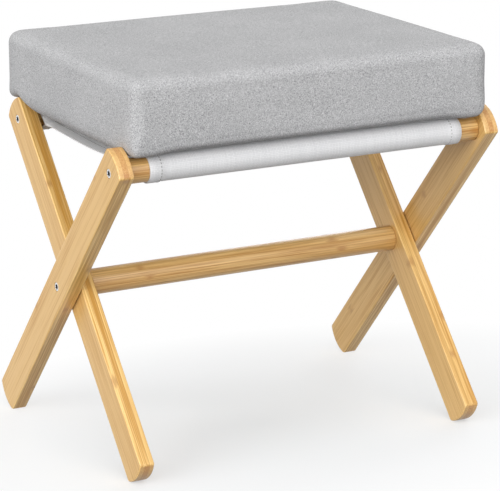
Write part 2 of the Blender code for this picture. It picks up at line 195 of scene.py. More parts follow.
@dataclass(frozen=True)
class LaminatedBamboo:
    """Bamboo strips glued in layers, planed, sanded and lacquered satin.

    The eye sees long straight fibres in honey tones, strips that differ slightly, narrow sides darkened
    with painted shade, a brown growth node now and then, and dotted bundles on the end grain.
    """

    name: str
    centre: Point
    turn: Point
    seed: float
    light: str = "#F6D18A"
    dark: str = "#C28D3C"
    node_colour: str = "#A87038"
    glue: str = "#AA7734"
    end_grain: str = "#CD9E64"
    dark_end_grain: str = "#B67842"
    bundle: str = "#9C6B2E"
    # Real sizes in millimetres; layers are slightly thicker than 18/3, so that no face lies on a boundary
    layer: float = 6.05
    strip: float = 9.7
    # Share of a strip that each layer is shifted by, and step of the seed to what differs by layer
    layer_shift: float = 0.37
    layer_seed: float = 7.0
    # Growth nodes: their distance, the core and the edge of one, and how far its fibres carry it along
    node_pitch: float = 255.0
    node_core: float = 0.51
    node_edge: float = 7.14
    node_wobble: float = 40.8
    # How strong a growth node is, and the share of the strips that show one
    node_strength: float = 0.55
    node_share: float = 0.45
    # Real fibres are about 0.4 mm wide: drawn at 1.8 mm, so that they show, in bands of 5 mm
    fibre: float = 1.8
    band: float = 5.0
    fibre_stretch: float = 0.016
    # How far apart in the noise two strips may take their fibres from
    strip_jump: float = 60.0
    # Real glue lines are 0.1 mm wide: drawn wider, each with its width and strength
    layer_line: Pair = (0.5, 0.45)
    strip_line: Pair = (0.4, 0.2)
    # Real bundles are 0.5 mm wide: drawn 1.4 mm apart, as dots that fade out between two shares of that
    bundle_size: float = 1.4
    bundle_edge: Pair = (0.16, 0.38)
    bundle_strength: float = 0.3
    # How far a face has to look along the bar to be end grain, and how much of that shows
    end_facing: Pair = (0.6, 0.85)
    end_strength: float = 0.6
    rough: Pair = (0.3, 0.42)
    # Where the tone starts from, and how much each of these darkens it
    tone: float = -2.08
    fibre_tone: float = 3.0
    band_tone: float = 1.0
    strip_tone: float = 0.3
    layer_tone: float = 0.2
    inner_tone: float = 0.2
    # Painted shade: the narrow sides are darkened as if less light fell on them
    edge_tone: float = 0.38

    @cache
    def material(self) -> Material:
        """Build the material on the bar's own axes: thickness, width and length, in millimetres.

        Returns:
            The material.
        """
        material, add, shader = start_material(self.name)
        given = add("TexCoord").node.outputs
        place = {"Location": self.centre, "Rotation": self.turn, "Scale": (MM, MM, MM)}
        bar = add("Mapping", {"Vector": given["Object"], **place}, vector_type="TEXTURE")

        def facing(axis: Point) -> NodeSocket:
            """Find how far the surface looks along an axis of the bar, either way.

            Args:
                axis: Direction on the bar.

            Returns:
                Output that is 1 where it looks straight along it.
            """
            axis = tuple(Euler(self.turn).to_matrix() @ Vector(axis))
            turned = add("VectorMath", (given["Normal"], axis), "Value", operation="DOT_PRODUCT")
            return add("Math", (turned,), operation="ABSOLUTE")

        def off_middle(value: NodeSocket) -> NodeSocket:
            """Find the distance of a value from the middle of its unit step.

            Args:
                value: Output with the value.

            Returns:
                Output from 0 in the middle to 0.5 on the boundary.
            """
            for operation in ("FRACT", "SUBTRACT", "ABSOLUTE"):
                value = add("Math", (value, 0.5), operation=operation)
            return value

        axes = add("SeparateXYZ", (bar,)).node.outputs
        layers = add("Math", (axes["X"], 1 / self.layer, 0.5), operation="MULTIPLY_ADD")
        layer = add("Math", (layers,), operation="FLOOR")
        inner = add("Math", (layer, 0.0, 0.5), operation="COMPARE")
        shift = add("Math", (layer, self.layer_shift, self.seed), operation="MULTIPLY_ADD")
        strips = add("Math", (axes["Y"], 1 / self.strip, shift), operation="MULTIPLY_ADD")
        strip = add("Math", (strips,), operation="FLOOR")
        strip_key = add("CombineXYZ", (layer, strip, self.seed))
        chance = add("TexWhiteNoise", (strip_key,)).node.outputs
        layer_key = add("CombineXYZ", (layer, 0.0, self.seed + self.layer_seed))
        layer_chance = add("TexWhiteNoise", (layer_key,))

        jump = add("VectorMath", {0: chance["Color"], "Scale": self.strip_jump}, operation="SCALE")
        along = add("VectorMath", (bar, (1.0, 1.0, self.fibre_stretch), jump), operation="MULTIPLY_ADD")
        fibre = add("TexNoise", {"Vector": along, "Scale": 1 / self.fibre, "Detail": 4.0, "Roughness": 0.62})
        bands = add("TexNoise", {"Vector": along, "Scale": 1 / self.band, "Detail": 2.0})
        # The last share paints shade onto the narrow sides
        tone = add_shares(
            add, self.tone, (fibre, self.fibre_tone), (bands, self.band_tone),
            (chance["Value"], self.strip_tone), (layer_chance, self.layer_tone),
            (inner, self.inner_tone), (facing((0, 1, 0)), self.edge_tone),
        )

        # Growth nodes: a mottled band at its own place on each strip
        nodes = add("Math", (axes["Z"], 1 / self.node_pitch, chance["Value"]), operation="MULTIPLY_ADD")
        core, edge, run = (s / self.node_pitch for s in (self.node_core, self.node_edge, self.node_wobble))
        wobble = add("Math", (fibre, run, -run / 2), operation="MULTIPLY_ADD")
        away = add("Math", (off_middle(nodes), wobble), operation="ADD")
        knot = add("MapRange", (away, core, edge, self.node_strength, 0.0), interpolation_type="SMOOTHSTEP")
        blue = add("SeparateColor", (chance["Color"],)).node.outputs["Blue"]
        shown = add("Math", (blue, self.node_share), operation="LESS_THAN")
        marks = add("Math", (knot, shown), operation="MULTIPLY")
        over = [(tone, linear(self.dark)), (marks, linear(self.node_colour))]

        # Glue lines between the layers and, fainter, between the strips
        for position, step, (width, strength) in (
            (layers, self.layer, self.layer_line), (strips, self.strip, self.strip_line)
        ):
            limits = (0.5 - width / step, 0.5 - width / step / 3, 0.0, strength)
            over.append((add("MapRange", (off_middle(position), *limits)), linear(self.glue)))

        # End grain: darker in the middle, with the cut bundles as faint dots
        end = add("MapRange", (facing((0, 0, 1)), *self.end_facing, 0.0, self.end_strength))
        grain = {MIX_A: linear(self.end_grain), MIX_B: linear(self.dark_end_grain)}
        over.append((end, add("Mix", {0: inner, **grain}, **MIX_COLOURS)))
        cells = add("TexVoronoi", {"Vector": bar, "Scale": 1 / self.bundle_size}, feature="F1")
        dots = add("MapRange", (cells, *self.bundle_edge, self.bundle_strength, 0.0))
        over.append((add("Math", (dots, end), operation="MULTIPLY"), linear(self.bundle)))

        colour = linear(self.light)
        for share, upper in over:
            colour = add("Mix", {0: share, MIX_A: colour, MIX_B: upper}, **MIX_COLOURS)
        feed(shader, {
            "Base Color": colour,
            "Roughness": add("MapRange", (fibre, *NOISE_RANGE, *self.rough)),
            "IOR": 1.5,
            "Specular IOR Level": 0.7,
            "Normal": add("Bump", {"Height": fibre, "Strength": 0.5, "Distance": 0.08 * MM}),
        })
        return material


@dataclass(frozen=True)
class TurnedSteel:
    """Steel turned on a lathe and zinc plated.

    The eye sees bright metal, with rings from the tool that spread the gloss.
    """

    name: str
    light: str = "#F0F1F2"
    dark: str = "#D6D8DA"
    rough: Pair = (0.17, 0.3)
    # Real tool marks are 0.1 mm apart: drawn 2.5 mm apart, so that they show
    ring: float = 2.5133
    cloud: float = 2.5

    @cache
    def material(self) -> Material:
        """Build the material on the piece's UV map, which runs along its turned profile in millimetres.

        Returns:
            The material.
        """
        material, add, shader = start_material(self.name)
        waves = {"Scale": 2 * math.pi / (WAVE_TURN * self.ring), "Distortion": 0.6, "Detail": 1.0}
        pattern = add("UVMap", uv_map="pattern")
        rings = add("TexWave", {"Vector": pattern, **waves}, "Fac", bands_direction="Y")
        place = add("TexCoord").node.outputs["Object"]
        cloud = add("TexNoise", {"Vector": place, "Scale": 1 / (self.cloud * MM), "Detail": 2.0})
        feed(shader, {
            "Base Color": add(
                "Mix", {0: cloud, MIX_A: linear(self.light), MIX_B: linear(self.dark)}, **MIX_COLOURS
            ),
            "Metallic": 1.0,
            "Roughness": add("MapRange", (rings, 0.0, 1.0, *self.rough)),
            "Normal": add("Bump", {"Height": rings, "Strength": 0.25, "Distance": 0.02 * MM}),
        })
        return material


@dataclass(frozen=True)
class MouldedGrain:
    """Plain moulded, cast or spun stock: nylon, zinc, thread, foam, and dark steel for painted shade in
    sockets.

    The eye sees one tone that wanders a little, and so does its gloss.
    """

    name: str
    light: str
    dark: str
    rough: float
    # Size in millimetres of the grain that shows, and depth of its bumps
    grain: float
    bump: float = 0.02
    rough_spread: float = 0.06
    metallic: float = 0.0
    sheen: float = 0.0

    @cache
    def material(self) -> Material:
        """Build the material on Object coordinates in millimetres.

        Returns:
            The material.
        """
        material, add, shader = start_material(self.name)
        noise = {"Scale": 1 / (self.grain * MM), "Detail": 3.0, "Roughness": 0.6}
        grain = add("TexNoise", {"Vector": add("TexCoord").node.outputs["Object"], **noise})
        tone = add("MapRange", (grain, *NOISE_RANGE))
        rough = (self.rough - self.rough_spread, self.rough + self.rough_spread)
        feed(shader, {
            "Base Color": add(
                "Mix", {0: tone, MIX_A: linear(self.light), MIX_B: linear(self.dark)}, **MIX_COLOURS
            ),
            "Metallic": self.metallic,
            "Roughness": add("MapRange", (grain, 0.0, 1.0, *rough)),
            "Normal": add("Bump", {"Height": grain, "Strength": 0.4, "Distance": self.bump * MM}),
            "Sheen Weight": self.sheen,
            "Sheen Roughness": 0.5,
        })
        return material


@dataclass(frozen=True)
class PlainWeave:
    """Cotton canvas or polyester tape in plain weave: two sets of threads, each over and under the other.

    The eye sees a fine matt grid with pits darkened as painted shade, and threads that differ a little in
    tone.
    """

    name: str
    light: str
    dark: str
    # Real threads are 0.5 mm apart: drawn wider, so that they show
    thread: float
    sheen: float = 0.15
    rough: Pair = (0.95, 0.82)
    # Where the tone starts from, how much the pits between threads darken it as painted shade,
    # and how much a thread's own chance adds to it
    tone: float = 0.72
    height_tone: float = -0.75
    thread_tone: float = 0.45

    @cache
    def material(self) -> Material:
        """Build the material on the piece's UV map, which is in millimetres along the cloth.

        Returns:
            The material.
        """
        material, add, shader = start_material(self.name)
        pattern = add("UVMap", uv_map="pattern")
        threads = add("VectorMath", {0: pattern, "Scale": 1 / self.thread}, operation="SCALE")
        axes = add("SeparateXYZ", (threads,)).node.outputs
        numbers = add("SeparateXYZ", (add("VectorMath", (threads,), operation="FLOOR"),)).node.outputs
        heights, chances = {}, {}
        for socket, axis in zip(MIX_NUMBERS, "XY"):
            angle = add("Math", (axes[axis], math.pi), operation="MULTIPLY")
            wave = add("Math", (angle,), operation="SINE")
            heights[socket] = add("Math", (wave,), operation="ABSOLUTE")
            chances[socket] = add("TexWhiteNoise", {"W": numbers[axis]}, noise_dimensions="1D")
        total = add("Math", (numbers["X"], numbers["Y"]), operation="ADD")
        over = add("Math", (total, 1.0), operation="PINGPONG")
        height = add("Mix", {0: over, **heights}, data_type="FLOAT")
        chance = add("Mix", {0: over, **chances}, data_type="FLOAT")
        # Low places between the threads are darkened: painted shade in the pits
        tone = add_shares(add, self.tone, (height, self.height_tone), (chance, self.thread_tone))
        feed(shader, {
            "Base Color": add(
                "Mix", {0: tone, MIX_A: linear(self.light), MIX_B: linear(self.dark)}, **MIX_COLOURS
            ),
            "Roughness": add("MapRange", (height, 0.0, 1.0, *self.rough)),
            "Specular IOR Level": 0.25,
            "Normal": add("Bump", {"Height": height, "Strength": 0.5, "Distance": 0.18 * MM}),
            "Sheen Weight": self.sheen,
            "Sheen Roughness": 0.5,
        })
        return material


@dataclass(frozen=True)
class WoolFelt:
    """Grey wool felt: pressed fibres without a weave, matt, with a soft bloom where it turns away.

    The eye sees short specks of lighter and darker wool and a slightly fuzzy outline.
    """

    name: str
    light: str = "#D2D2D3"
    dark: str = "#6C6C6E"
    # Wool fibres are 0.03 mm thick: their tufts are drawn at 1.15 mm, with finer specks at 0.6 mm
    tuft: float = 1.15
    speck: float = 0.6
    # Broad clouds, a hand wide, where the felt is pressed unevenly
    cloud: float = 75.0
    # Where the tone starts from, how much each of these adds to it, and the range that is drawn
    tone: float = -0.2
    tuft_tone: float = 0.75
    speck_tone: float = 0.45
    cloud_tone: float = 0.06
    tone_range: Pair = (0.27, 0.63)

    @cache
    def material(self) -> Material:
        """Build the material on Object coordinates in millimetres.

        Returns:
            The material.
        """
        material, add, shader = start_material(self.name)
        place = add("TexCoord").node.outputs["Object"]
        tufts, specks, clouds = (
            add("TexNoise", {"Vector": place, "Scale": 1 / (size * MM), **shape})
            for size, shape in (
                (self.tuft, {"Detail": 3.0, "Roughness": 0.6, "Distortion": 0.8}),
                (self.speck, {"Detail": 2.0, "Distortion": 1.2}),
                (self.cloud, {"Detail": 1.0}),
            )
        )
        wool = add_shares(add, self.tone, (tufts, self.tuft_tone), (specks, self.speck_tone))
        tone = add("MapRange", (add_shares(add, wool, (clouds, self.cloud_tone)), *self.tone_range))
        feed(shader, {
            "Base Color": add(
                "Mix", {0: tone, MIX_A: linear(self.light), MIX_B: linear(self.dark)}, **MIX_COLOURS
            ),
            "Roughness": 0.95,
            "Specular IOR Level": 0.05,
            "Normal": add("Bump", {"Height": wool, "Strength": 0.27, "Distance": 0.3 * MM}),
            "Sheen Weight": 0.04,
            "Sheen Roughness": 0.45,
        })
        return material


CANVAS = PlainWeave("cotton_canvas", "#E6E6E7", "#CCCCCE", thread=1.9, sheen=0.6)
ZIP_TAPE = PlainWeave("woven_polyester_tape", "#A5A5A8", "#7F7F83", thread=0.8)
FELT = WoolFelt("grey_wool_felt")
FOAM = MouldedGrain("polyurethane_foam", "#F1ECD6", "#D9D0AE", rough=0.9, grain=1.5, bump=0.4)
BOLT_STEEL = TurnedSteel("zinc_plated_turned_steel")
# Dark steel in the bolts' sockets: painted shade of the recess
SOCKET_SHADE_STEEL = MouldedGrain("blackened_steel", "#3A3A3C", "#1E1E20", rough=0.5, grain=0.8, metallic=0.6)
SLIDER_STEEL = MouldedGrain("nickel_plated_zinc", "#CFCFD0", "#A9AAAD", rough=0.3, grain=2.0, metallic=1.0)
INSERT_ZINC = MouldedGrain("cast_zinc", "#B8B9BB", "#8F9196", rough=0.45, grain=1.2, metallic=1.0)
WASHER_NYLON = MouldedGrain("moulded_nylon", "#EDEAE2", "#D9D5C9", rough=0.45, grain=3.0)
THREAD = MouldedGrain("polyester_thread", "#9B9B9E", "#77777B", rough=0.7, grain=0.8, sheen=0.3)
DARK_THREAD = MouldedGrain("dark_polyester_thread", "#6E6560", "#4E4642", rough=0.7, grain=0.8, sheen=0.3)
COIL_NYLON = MouldedGrain("nylon_zip_coil", "#ABABAE", "#88888C", rough=0.4, grain=1.0)


def joint_place(name: str) -> Vector:
    """Where the axis of a joint passes, in the frame."""
    return Vector(next(joint["pos_m"] for joint in frame["joints"] if joint["name"] == name))


def mesh_parts(mesh: Mesh) -> tuple[np.ndarray, list[tuple[int, ...]]]:
    """Points of a mesh, and the point numbers of its faces."""
    return np.array([v.co for v in mesh.vertices]), [tuple(p.vertices) for p in mesh.polygons]


def add_object(name: str, data: ID) -> Object:
    """Put an object into the scene.

    Args:
        name: Name of the object.
        data: Its mesh, lamp or camera.

    Returns:
        The object, at the origin.
    """
    piece = bpy.data.objects.new(name, data)
    bpy.context.scene.collection.objects.link(piece)
    return piece


def add_mesh(
    name: str, vertices: np.ndarray, faces: Sequence[Sequence[int]], pattern: np.ndarray | None = None,
    sharp_degrees: float = 40.0,
) -> Object:
    """Make a closed, smooth shaded object.

    Args:
        name: Name of the object and its mesh.
        vertices: Points in the frame, in metres.
        faces: Point numbers of each face.
        pattern: UV pair of each point in millimetres, for a finish that follows the surface.
        sharp_degrees: Edges that turn more than this stay sharp.

    Returns:
        The object, at the origin and with its faces turned outwards.
    """
    mesh = bpy.data.meshes.new(name)
    mesh.from_pydata(np.asarray(vertices).tolist(), [], faces)
    if pattern is not None:
        numbers = np.empty(len(mesh.loops), np.int32)
        mesh.loops.foreach_get("vertex_index", numbers)
        mesh.uv_layers.new(name="pattern").data.foreach_set("uv", np.asarray(pattern)[numbers].ravel())
    shape = bmesh.new()
    shape.from_mesh(mesh)
    bmesh.ops.remove_doubles(shape, verts=shape.verts, dist=MERGE_DISTANCE)
    bmesh.ops.recalc_face_normals(shape, faces=shape.faces)
    shape.to_mesh(mesh)
    shape.free()
    mesh.shade_smooth()
    mesh.set_sharp_from_angle(angle=math.radians(sharp_degrees))
    return add_object(name, mesh)


def loft(
    name: str, rings: Sequence[np.ndarray], closed: bool = False, sharp_degrees: float = 40.0
) -> Object:
    """Join rings of points into one skin.

    Args:
        name: Name of the piece.
        rings: Rings with the same number of points, in order along the skin.
        closed: Join the last ring to the first, as on a washer; otherwise each end gets a fan.
        sharp_degrees: Edges that turn more than this stay sharp.

    Returns:
        The piece, with a UV map that runs along its profile.
    """
    count, last = len(rings[0]), len(rings) - 1
    vertices = np.concatenate(rings)
    steps = [np.linalg.norm(b - a, axis=1).mean() for a, b in zip(rings, rings[1:])]
    profile = np.concatenate([[0.0], np.cumsum(steps)]) / MM
    around = np.tile(np.arange(count) / count, len(rings))
    pattern = np.stack([around, np.repeat(profile, count)], axis=1)
    sides = [(j, (j + 1) % count) for j in range(count)]
    faces = []
    for ring in range(last + closed):
        first, second = ring * count, (ring + 1) % (last + 1) * count
        faces += [(first + j, first + k, second + k, second + j) for j, k in sides]
    if not closed:
        middles = np.stack([rings[0].mean(0), rings[-1].mean(0)])
        reach = [np.linalg.norm(rings[i] - m, axis=1).mean() / MM for i, m in zip((0, -1), middles)]
        start = len(vertices)
        vertices = np.concatenate([vertices, middles])
        pattern = np.concatenate([pattern, [[0.0, -reach[0]], [0.0, profile[-1] + reach[1]]]])
        for j, k in sides:
            faces += [(start, k, j), (start + 1, last * count + j, last * count + k)]
    return add_mesh(name, vertices, faces, pattern, sharp_degrees)


def ring_about_x(x: float, radius: float, centre: Vector, steps: int, sides: int = 0) -> np.ndarray:
    """Points of a ring around an axis along X.

    Args:
        x: Place of the ring along its axis.
        radius: Radius of the circle, or distance from the middle to a flat of the polygon.
        centre: Any point of the axis.
        steps: Number of points.
        sides: Number of flats; 0 makes a circle.

    Returns:
        The points, one row each.
    """
    turn = np.linspace(0, 2 * np.pi, steps, endpoint=False)
    reach = np.full(steps, radius)
    if sides:
        reach = radius / np.cos(turn % (2 * np.pi / sides) - np.pi / sides)
    y, z = centre.y + reach * np.cos(turn), centre.z + reach * np.sin(turn)
    return np.stack([np.full(steps, x), y, z], axis=1)


def quarter(radius: float, steps: int = 4) -> list[Pair]:
    """Points of a rounded edge as (depth below the face, distance inside the side), from face to side."""
    angles = [math.pi / 2 * i / steps for i in range(steps + 1)]
    return [(radius * (1 - math.cos(a)), radius * (1 - math.sin(a))) for a in angles]


def dress(
    piece: Object, body: str, replaced: Sequence[str] = (), material: Material | None = None
) -> None:
    """Give a finished piece its material and its place in the frame.

    Args:
        piece: Finished object.
        body: CAD body that it moves with.
        replaced: CAD nodes that it stands for.
        material: Its finish, unless its mesh has one already.
    """
    if material is not None:
        piece.data.materials.clear()
        piece.data.materials.append(material)
    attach(piece, body)
    if replaced:
        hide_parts(*replaced)
    LOG.info("%s on %s, %d faces", piece.name, body, len(piece.data.polygons))


def dress_node(node: str, material: Material) -> None:
    """Give a CAD node that stays in view its material.

    Args:
        node: Name of the node.
        material: Its finish.
    """
    for slot in frame["nodes"][node].material_slots:
        slot.material = material
    LOG.info("%s keeps its CAD shape", node)


@dataclass(frozen=True)
class BeadSize:
    """Sizes of the small round bodies that a bead row repeats: stitches, or the turns of a zip coil."""

    pitch: float
    length: float
    width: float
    height: float
    turn: float = 0.0


@dataclass
class BeadRows:
    """Geometry Nodes tree that sets small rounded bodies along lines, for stitches and for a zip coil."""

    sizes: tuple[str, ...] = ("Pitch", "Length", "Width", "Height", "Turn")
    segments: int = 8
    rings: int = 5

    def __post_init__(self) -> None:
        """Build the tree once."""
        self.tree = tree = bpy.data.node_groups.new("bead_rows", "GeometryNodeTree")
        kinds = {"Lines": "Geometry", **dict.fromkeys(self.sizes, "Float"), "Finish": "Material"}
        for name, kind in kinds.items():
            tree.interface.new_socket(name, in_out="INPUT", socket_type=f"NodeSocket{kind}")
        tree.interface.new_socket("Beads", in_out="OUTPUT", socket_type="NodeSocketGeometry")
        add = partial(add_node, tree)
        given = add("NodeGroupInput").node.outputs
        lines = add("GeometryNodeMeshToCurve", {"Mesh": given["Lines"]})
        places = add("GeometryNodeResampleCurve", {"Curve": lines, "Length": given["Pitch"]}, mode="LENGTH")
        tangent = add("GeometryNodeInputTangent")
        along = add("FunctionNodeAlignRotationToVector", {"Vector": tangent}, axis="X")
        turn = add("CombineXYZ", {"Z": given["Turn"]})
        facing = add(
            "FunctionNodeRotateRotation", {"Rotation": along, "Rotate By": turn}, rotation_space="LOCAL"
        )
        shape = {"Segments": self.segments, "Rings": self.rings, "Radius": 0.5}
        ball = add("GeometryNodeMeshUVSphere", shape)
        bead = add("GeometryNodeSetShadeSmooth", {"Geometry": ball, "Shade Smooth": True})
        size = add("CombineXYZ", (given["Length"], given["Width"], given["Height"]))
        beads = add(
            "GeometryNodeInstanceOnPoints",
            {"Points": places, "Instance": bead, "Rotation": facing, "Scale": size},
        )
        solid = add("GeometryNodeRealizeInstances", {"Geometry": beads})
        finished = add("GeometryNodeSetMaterial", {"Geometry": solid, "Material": given["Finish"]})
        add("NodeGroupOutput", {"Beads": finished})

    def piece(self, name: str, lines: Sequence[np.ndarray], size: BeadSize, finish: Material) -> Object:
        """Make one plain mesh of beads.

        Args:
            name: Name of the piece.
            lines: Points of each line that the beads follow.
            size: Sizes of the beads.
            finish: Their material.

        Returns:
            The piece, without a modifier.
        """
        guide = bpy.data.meshes.new(name + "_lines")
        edges, start = [], 0
        for line in lines:
            edges += [(start + i, start + i + 1) for i in range(len(line) - 1)]
            start += len(line)
        guide.from_pydata(np.concatenate(lines).tolist(), edges, [])
        holder = add_object(name + "_lines", guide)
        modifier = holder.modifiers.new("beads", "NODES")
        modifier.node_group = self.tree
        values = dict(zip(self.sizes, astuple(size)), Finish=finish)
        for socket in self.tree.interface.items_tree:
            if socket.in_out == "INPUT" and socket.name in values:
                modifier[socket.identifier] = values[socket.name]
        depsgraph = bpy.context.evaluated_depsgraph_get()
        mesh = bpy.data.meshes.new_from_object(holder.evaluated_get(depsgraph), depsgraph=depsgraph)
        holder.modifiers.clear()
        bpy.data.objects.remove(holder)
        mesh.name = name
        return add_object(name, mesh)


@dataclass
class Dowel:
    """Round bamboo bar along X with a blind hole in each end for a threaded insert."""

    node: str
    body: str
    seed: float
    hole_radius: float = 5.3 * MM
    hole_depth: float = 18.0 * MM
    edge: float = 1.0 * MM
    steps: int = 96
    # Darker than the legs' bamboo: painted shade, for the cushion's shade over the rails and the stretcher
    light: str = "#E4BD7C"
    dark: str = "#B07C3A"
    tone: float = -1.88

    def build(self) -> None:
        """Turn the dowel and dress it."""
        low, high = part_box(self.node)
        middle = (low + high) / 2
        radius, half = (high.z - low.z) / 2, (high.x - low.x) / 2
        left = [(-half + self.hole_depth, self.hole_radius), (-half, self.hole_radius)]
        left += [(-half + depth, radius - inside) for depth, inside in quarter(self.edge)]
        profile = left + [(-x, r) for x, r in reversed(left)]
        rings = [ring_about_x(middle.x + x, r, middle, self.steps) for x, r in profile]
        finish = LaminatedBamboo(
            f"laminated_bamboo_{self.node}", tuple(middle), (0, math.pi / 2, 0), self.seed,
            self.light, self.dark, tone=self.tone, edge_tone=0.0,
        )
        dress(loft(self.node + "_bamboo", rings), self.body, [self.node], finish.material())


@dataclass
class Bolt:
    """Low-head bolt with a hex socket, sunk flush into a leg, its shank along X."""

    node: str
    body: str
    side: Side
    head_radius: float = 5.25 * MM
    head_height: float = 3.0 * MM
    rim: float = 0.7 * MM
    socket_flat: float = 2.4 * MM
    socket_depth: float = 2.2 * MM
    socket_chamfer: float = 0.3 * MM
    # Radius of the chamfer's mouth, and of the floor and walls of the socket, which are painted dark
    # as its shade, as shares of the flat's distance
    mouth: float = 1.25
    blackened: float = 1.2
    shank_radius: float = 3.0 * MM
    tip: float = 0.8 * MM
    steps: int = 48
    sharp_degrees: float = 32.0

    def build(self) -> None:
        """Turn the bolt and dress it."""
        low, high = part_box(self.node)
        centre, length = (low + high) / 2, high.x - low.x
        face = low.x if self.side is Side.LEFT else high.x
        flat, inward = self.socket_flat, -self.side.value
        socket = [(self.socket_depth, flat), (self.socket_chamfer, flat)]
        profile = [(0.0, flat * self.mouth + self.socket_chamfer)]
        profile += [(depth, self.head_radius - inside) for depth, inside in quarter(self.rim)]
        profile += [(self.head_height, self.head_radius), (self.head_height, self.shank_radius)]
        profile += [(length - self.tip, self.shank_radius), (length, self.shank_radius - self.tip)]
        rings = [ring_about_x(face + inward * d, r, centre, self.steps, sides=6) for d, r in socket]
        rings += [ring_about_x(face + inward * d, r, centre, self.steps) for d, r in profile]
        bolt = loft(self.node + "_steel", rings, sharp_degrees=self.sharp_degrees)
        dress(bolt, self.body, [self.node], BOLT_STEEL.material())
        # The socket's walls and floor get the dark steel: painted shade in the recess
        bolt.data.materials.append(SOCKET_SHADE_STEEL.material())
        for polygon in bolt.data.polygons:
            place = polygon.center - Vector((face, centre.y, centre.z))
            deep = self.socket_chamfer / 4 < abs(place.x) < self.socket_depth + MERGE_DISTANCE
            polygon.material_index = int(deep and place.yz.length < self.blackened * flat)


@dataclass
class LegFrame:
    """Two bamboo legs and the rail between their tops, with the rail's bolts and inserts."""

    word: str
    end: End
    seed: float
    # Steps of the seed from leg to leg, and to the rail
    leg_seed: float = 3.3
    rail_seed: float = 9.1
    sharp_degrees: float = 50.0

    def build(self) -> None:
        """Build and dress the frame."""
        body = f"{self.word}_frame"
        pivot = joint_place(f"{self.word}_fold")
        rail = joint_place(f"sling_{self.end.word}_swing")
        tilt = math.atan2(pivot.y - rail.y, rail.z - pivot.z)
        for number, side in enumerate(Side):
            node = f"{side.word}_{self.word}_leg"
            low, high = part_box(node)
            centre = ((low.x + high.x) / 2, pivot.y, pivot.z)
            seed = self.seed + self.leg_seed * number
            finish = LaminatedBamboo(f"laminated_bamboo_{node}", centre, (tilt, 0, 0), seed)
            # A copy of the CAD shape, with its loose triangles merged and its facets softened
            points, faces = mesh_parts(frame["nodes"][node].data)
            leg = add_mesh(node + "_bamboo", points, faces, sharp_degrees=self.sharp_degrees)
            leg.modifiers.new("even normals", "WEIGHTED_NORMAL").keep_sharp = True
            dress(leg, body, [node], finish.material())
            Bolt(f"{self.end.word}_rail_bolt_{side.word}", body, side).build()
            dress_node(f"{self.end.word}_rail_insert_{side.word}", INSERT_ZINC.material())
        Dowel(f"{self.end.word}_rail", body, self.seed + self.rail_seed).build()


@dataclass
class Axle:
    """Stretcher between the inner legs, with the bolts and washers that the legs turn on."""

    body: str = "axle"
    seed: float = 21.4

    def build(self) -> None:
        """Build and dress the axle."""
        Dowel("stretcher", self.body, self.seed).build()
        for side in Side:
            Bolt(f"pivot_bolt_{side.word}", self.body, side).build()
            dress_node(f"stretcher_insert_{side.word}", INSERT_ZINC.material())
            dress_node(f"pivot_washer_{side.word}", WASHER_NYLON.material())


